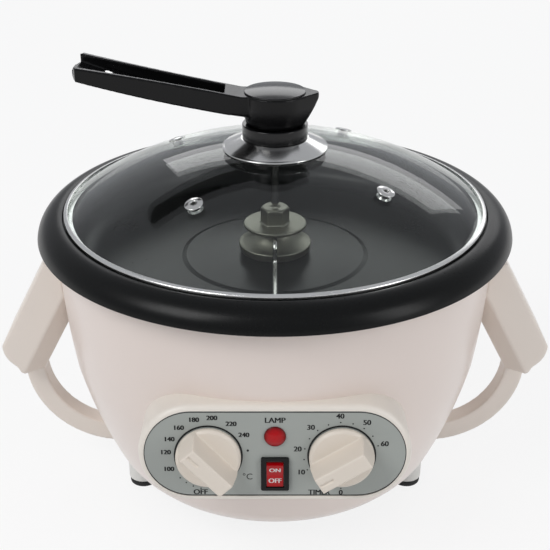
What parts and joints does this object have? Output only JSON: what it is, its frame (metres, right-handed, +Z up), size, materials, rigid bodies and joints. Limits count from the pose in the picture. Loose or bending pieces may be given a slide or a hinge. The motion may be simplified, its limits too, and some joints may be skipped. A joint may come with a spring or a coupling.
{
  "type": "home coffee bean roaster",
  "caption": "Countertop coffee bean roaster: heated non-stick pan with a motor stirrer, lift-off glass lid with a long handle, two side handles and a dial panel.",
  "frame": {"origin": "middle of the footprint box, on the surface that the foot pads stand on", "axes": "+X to the right seen from the dials, +Y to the back, +Z up; the pan's axis is at x = 0, y = 0.0074 m"},
  "size_m": [0.3554, 0.3104, 0.284],
  "materials": {
    "housing_plastic": "satin moulded polypropylene, pale pinkish cream",
    "pod_plastic": "satin moulded plastic, cream",
    "handle_plastic": "satin moulded plastic, warm beige",
    "knob_plastic": "satin moulded plastic, cream",
    "foot_plastic": "moulded plastic, off-white",
    "pad_rubber": "matt black rubber",
    "plate_grey": "satin grey paint with black print",
    "nonstick": "black non-stick coating, satin",
    "cast_aluminium": "dull cast aluminium",
    "stainless": "stainless wire and rod",
    "band_steel": "polished stainless band",
    "chrome": "bright chrome plate",
    "dome_glass": "clear tempered glass",
    "black_gloss": "black phenolic, glossy",
    "black_satin": "black phenolic, satin",
    "rocker_red": "translucent red",
    "lamp_red": "translucent red",
    "spindle_brass": "turned brass",
    "zinc_steel": "zinc-plated steel",
    "shield_aluminium": "mill aluminium sheet",
    "element_steel": "heat-darkened steel sheath",
    "base_sheet": "grey coated sheet",
    "case_plastic": "moulded dark plastic",
    "spring_steel": "spring wire",
    "gasket_silicone": "silicone washer"
  },
  "bodies": {
    "base": {"base_plate": "base_sheet", "base_screws": "zinc_steel", "control_pod": "pod_plastic", "cord_gland": "black_satin", "dial_plate": "plate_grey", "element_clamps": "zinc_steel", "feet": "foot_plastic", "foot_pads": "pad_rubber", "gearbox_case": "zinc_steel", "handle_left": "handle_plastic", "handle_right": "handle_plastic", "heat_shield": "shield_aluminium", "heating_element": "element_steel", "housing": "housing_plastic", "lamp_holder": "case_plastic", "lamp_lens": "lamp_red", "lower_posts": "zinc_steel", "motor_bracket": "zinc_steel", "motor_can": "zinc_steel", "roasting_pan": "nonstick", "sensor_bulb": "element_steel", "sensor_clips": "zinc_steel", "shaft_bush": "spindle_brass", "switch_housing": "black_satin", "terminal_block": "case_plastic", "thermostat_body": "case_plastic", "timer_body": "case_plastic", "upper_posts": "zinc_steel"},
    "thermostat": {"thermostat_knob": "knob_plastic", "thermostat_spindle": "zinc_steel"},
    "timer": {"timer_knob": "knob_plastic", "timer_spindle": "zinc_steel"},
    "rocker": {"switch_rocker": "rocker_red"},
    "stirrer": {"drive_shaft": "stainless", "stirrer_hub": "cast_aluminium", "stirrer_arms": "stainless"},
    "lid": {"lid_glass": "dome_glass", "lid_band": "band_steel", "steam_vents": "chrome", "knob_flange": "chrome", "lid_gasket": "gasket_silicone", "lid_knob": "black_gloss", "lid_handle": "black_satin", "handle_cap": "black_gloss", "handle_insert": "black_satin", "insert_screws": "chrome", "lid_stud": "stainless", "under_nut": "stainless", "spring_plug": "black_satin", "rod_spring": "spring_steel"},
    "press_rod": {"press_rod": "stainless"}
  },
  "joints": [
    {"name": "lid_lift", "type": "slide", "parent": "base", "child": "lid", "axis": [0, 0, 1], "range_m": [0, 0.15]},
    {"name": "press_rod_slide", "type": "slide", "parent": "lid", "child": "press_rod", "axis": [0, 0, 1], "range_m": [0, 0.004], "stiffness_N_per_m": 400, "springref_m": -0.004, "deforming": ["rod_spring"]},
    {"name": "thermostat_turn", "type": "hinge", "parent": "base", "child": "thermostat", "pos_m": [-0.0367, -0.1347, 0.1013], "axis": [0, 0.9962, -0.0872], "range_deg": [-124.6, 124.3]},
    {"name": "timer_turn", "type": "hinge", "parent": "base", "child": "timer", "pos_m": [0.0367, -0.1347, 0.1013], "axis": [0, 0.9962, -0.0872], "range_deg": [-58, 194.4]},
    {"name": "rocker_tilt", "type": "hinge", "parent": "base", "child": "rocker", "pos_m": [0, -0.13367, 0.09017], "axis": [-1, 0, 0], "range_deg": [0, 16]},
    {"name": "stirrer_spin", "type": "hinge", "parent": "base", "child": "stirrer", "pos_m": [0, 0.00739, 0.17], "axis": [0, 0, 1], "continuous": true}
  ]
}
